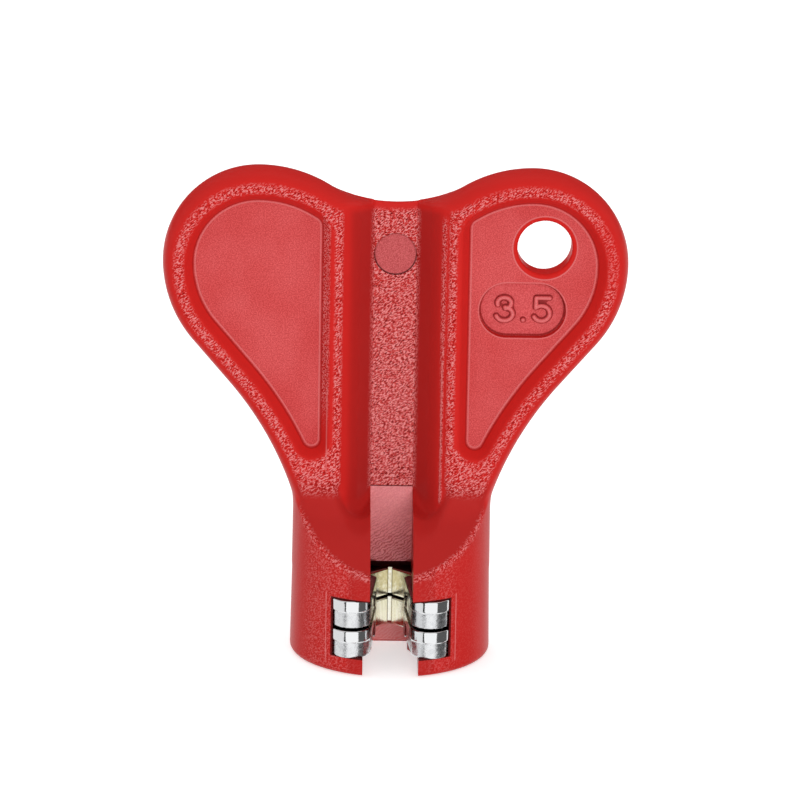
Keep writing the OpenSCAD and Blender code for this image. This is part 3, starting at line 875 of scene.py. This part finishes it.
        # The slot's rear wall is painted lighter: painted light in its shade
        below = self.step(self.z, (plates_bottom_z + 0.2) * MM, (plates_bottom_z + 0.1) * MM)
        at_back = self.band(self.y, (slot_back_y - 0.4) * MM, (slot_back_y + 0.6) * MM, 0.3 * MM)
        lit_rear_wall = self.times(below, at_back,
                          self.step(self.ax, (slot_rear_x + 0.4) * MM, (slot_rear_x + 0.2) * MM),
                          self.step(self.z, 0.05 * MM, 0.2 * MM))
        rear_wall_light = self.mix(self.flow, (0.94, 0.28, 0.28, 1), (1.0, 0.42, 0.42, 1))
        return self.mix(lit_rear_wall, color, rear_wall_light)

    def shade(self, color):
        """Relief and gloss: rougher where grained or sanded, duller on the wings and in the hole"""
        sanding = self.times(self.fine, 0.35, self.largest(self.pale, self.disc))
        relief = self.plus(self.times(self.ridges, self.grain), sanding,
                           self.times(self.flow, self.patch, 0.5))
        bump = self.add("ShaderNodeBump", Height=relief, Strength=1.0, Distance=0.08 * MM)
        rough = self.grade(self.largest(self.grain, self.pale), 0.28, 0.24)
        wing = self.times(self.step(self.z, 17.0 * MM, 22.0 * MM),
                          self.step(self.ax, 4.5 * MM, 6.0 * MM))
        dull = self.largest(self.in_hole, self.times(wing, 0.85))
        plastic = self.add("ShaderNodeBsdfPrincipled", Base_Color=color, Roughness=rough,
                           Specular_IOR_Level=self.grade(dull, 0.11, -0.09), Normal=bump.outputs[0])
        plastic.inputs["IOR"].default_value = 1.32
        self.finish(plastic.outputs[0])


def new_material(name, kind=Shader):
    material = bpy.data.materials.new(name)
    return material, kind(material)


def plastic_material():
    material, s = new_material("red_plastic_satin", Plastic)
    color = s.add_grain(s.base_color())
    color = s.add_pocket(s.add_edge_light_and_shade(color))
    s.shade(s.add_slot_walls(color))
    return material


def steel_material():
    material, s = new_material("plated_steel_bright")
    place = s.place()
    z = s.add("ShaderNodeSeparateXYZ", Vector=place).outputs[2]
    broken, inner = s.attribute("broken"), s.attribute("inner")
    socket, top = s.attribute("socket"), s.attribute("top")
    streaks = s.noise(s.stretch(place, (1.0, 1.0, 0.12)), 3000.0, 2.0, 0.5)
    chips = s.noise(place, 2200.0, 3.0, 0.6, 0.5)

    # Straw-coloured socket, worn on the upper plate, in plain plating
    gold = s.mix(s.step(streaks, 0.35, 0.65), (0.93, 0.90, 0.74, 1), (1.0, 0.985, 0.89, 1))
    worn = s.times(s.step(z, 5.3 * MM, 6.2 * MM), s.step(chips, 0.62, 0.42))
    worn_gold, plating = (0.84, 0.78, 0.56, 1), (0.88, 0.89, 0.90, 1)
    color = s.mix(socket, plating, s.mix(worn, gold, worn_gold))

    # Broken edge, painted dark reflections on the insides of the prongs, and painted shade with
    # dark reflection on the top face
    broken_steel = (0.76, 0.77, 0.79, 1)
    inner_reflection_brown, top_shade_brown = (0.10, 0.08, 0.06, 1), (0.10, 0.06, 0.05, 1)
    color = s.mix(s.times(broken, s.step(chips, 0.62, 0.40)), color, broken_steel)
    # Brown on the prongs' insides is a painted reflection of the dark plastic
    inner_reflection = s.times(inner, s.grade(s.step(chips, 0.60, 0.45), 0.55, 0.4))
    color = s.mix(inner_reflection, color, inner_reflection_brown)
    color = s.mix(s.times(top, 0.85), color, top_shade_brown)

    rough = s.plus(0.10, s.times(broken, s.times(chips, 0.35)), s.times(socket, 0.12))
    relief = s.plus(s.times(streaks, 0.35), s.times(chips, broken, 1.6))
    bump = s.add("ShaderNodeBump", Height=relief, Strength=0.7, Distance=0.03 * MM)
    steel = s.add("ShaderNodeBsdfPrincipled", Base_Color=color, Roughness=rough,
                  Normal=bump.outputs[0])
    steel.inputs["Metallic"].default_value = 1.0
    s.finish(steel.outputs[0])
    return material


def floor_material():
    """Matte floor that glows a little where it is seen, but lights nothing"""
    material, s = new_material("pale_floor")
    color = s.mix(s.noise(s.place(), 900.0), (0.90, 0.90, 0.90, 1), (0.94, 0.94, 0.94, 1))
    matte = s.add("ShaderNodeBsdfDiffuse", Color=color)
    glow = s.add("ShaderNodeEmission", Strength=s.times(s.seen(), 0.50))
    both = s.add("ShaderNodeAddShader")
    s.put(both.inputs[0], matte.outputs[0])
    s.put(both.inputs[1], glow.outputs[0])
    s.finish(both.outputs[0])
    return material


def card_material(name, level):
    material, s = new_material(name)
    strength = s.times(s.grade(s.noise(s.place(), 300.0), 0.95, 0.1), level)
    s.finish(s.add("ShaderNodeEmission", Strength=strength).outputs[0])
    return material


# The moulding, and its raised digits as a finer part of the same mesh
body, body_quads = dual_mesh(handle, (-26.1, -11.7, -0.55), (26.1, 11.7, 55.7), handle_cell)
mark, mark_quads = dual_mesh(digits, (mark_c[0] - 4, -1.35, mark_c[1] - 2.1),
                             (mark_c[0] + 4, -0.4, mark_c[1] + 2.1), digit_cell)
body_masks, mark_masks = handle_masks(body), handle_masks(mark)
piece = mesh_object(
    "handle", np.concatenate([body, mark]), np.concatenate([body_quads, mark_quads + len(body)]),
    {key: np.concatenate([body_masks[key], mark_masks[key]]) for key in body_masks}, sharp_angle=50
)
piece.data.materials.append(plastic_material())
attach(piece, "root")
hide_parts("moulded_handle")

# The two plates, which share one form
plate, plate_quads = dual_mesh(jaw_plate, (-6.9, -10.7, -0.3), (6.9, 6.9, 3.4), plate_cell)
steel = steel_material()
for node, plate_z in (("lower_jaw_plate", plates_bottom_z), ("upper_jaw_plate", upper_plate_z)):
    piece = mesh_object(node.replace("_plate", ""), plate + [0, 0, plate_z], plate_quads,
                        plate_masks(plate), sharp_angle=40)
    piece.data.materials.append(steel)
    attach(piece, "root")
    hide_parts(node)


def studio_object(name, points, faces, material):
    """Part of the surroundings, which doesn't belong to the wrench"""
    mesh = bpy.data.meshes.new(name)
    mesh.from_pydata(points, [], faces)
    mesh.materials.append(material)
    made = bpy.data.objects.new(name, mesh)
    bpy.context.scene.collection.objects.link(made)
    return made


ground = studio_object("floor", [(-3, -3, 0), (3, -3, 0), (3, 3, 0), (-3, 3, 0)], [(0, 1, 2, 3)],
                       floor_material())
ground.location.z = -0.00002
ground.visible_glossy = False


def card(name, start, end, material, low=-0.7):
    """Upright strip round the object from a start to an end angle, seen in its reflections alone"""
    parts, radius, high = 24, 0.6, 0.7
    angles = [math.radians(start + (end - start) * i / parts - 90) for i in range(parts + 1)]
    ring = [(radius * math.cos(t), radius * math.sin(t)) for t in angles]
    points = [(x, y, z) for x, y in ring for z in (low, high)]
    faces = [(2 * i, 2 * i + 1, 2 * i + 3, 2 * i + 2) for i in range(parts)]
    made = studio_object(name, points, faces, material)
    made.visible_camera = False
    made.visible_diffuse = False
    made.visible_shadow = False
    made.visible_transmission = False


card("rear_card", 125, 235, card_material("rear_card", 0.08), low=0.01)
card("dark_card_right", 40, 112, card_material("dark_card", 0.10))
card("dark_strip_left", -41, -32, card_material("dark_strip", 0.02))
card("grey_card_left", -130, -41, card_material("grey_card", 0.80))


def area_light(name, place, power):
    """Light on the middle of the wrench"""
    data = bpy.data.lights.new(name, "AREA")
    data.shape = "RECTANGLE"
    data.size, data.size_y = 0.5, 0.4
    data.energy = power
    made = bpy.data.objects.new(name, data)
    made.visible_glossy = False
    made.location = place
    aim = Vector((0, 0, 0.028)) - Vector(place)
    made.rotation_euler = aim.to_track_quat("-Z", "Y").to_euler()
    bpy.context.scene.collection.objects.link(made)


area_light("front_light", (0.16, -0.8, 0.16), 2.5)
area_light("rear_light", (-0.2, 0.7, 0.35), 1.2)

world = bpy.data.worlds.new("studio")
s = Shader(world)
background = s.add("ShaderNodeBackground", Color=(1, 1, 1, 1),
                   Strength=s.grade(s.seen(), 0.70, 0.30))
s.finish(background.outputs[0], "ShaderNodeOutputWorld")

# Camera at the photograph's angle
elevation, azimuth, roll = math.radians(15.2), math.radians(-1.0), math.radians(1.02)
distance = 475.0
pixels_per_mm = 9.05
picture_w = 800
sensor_w = 36
target = Vector((0.731, 0.0, 28.686))
backward = Vector((math.sin(azimuth) * math.cos(elevation),
                   -math.cos(azimuth) * math.cos(elevation), math.sin(elevation)))
level = Vector((0, 0, 1)).cross(backward).normalized()
upward = backward.cross(level)
right = level * math.cos(roll) + upward * math.sin(roll)
up = upward * math.cos(roll) - level * math.sin(roll)
camera_data = bpy.data.cameras.new("photo_camera")
camera_data.sensor_width = sensor_w
camera_data.lens = sensor_w * pixels_per_mm * distance / picture_w
camera_data.clip_start = 0.01
camera_data.clip_end = 20
camera = bpy.data.objects.new("photo_camera", camera_data)
turn = Matrix((right, up, backward)).transposed().to_4x4()
camera.matrix_world = Matrix.Translation((target + backward * distance) * MM) @ turn

scene = bpy.context.scene
scene.collection.objects.link(camera)
scene.camera = camera
scene.world = world
scene.view_settings.view_transform = "Standard"
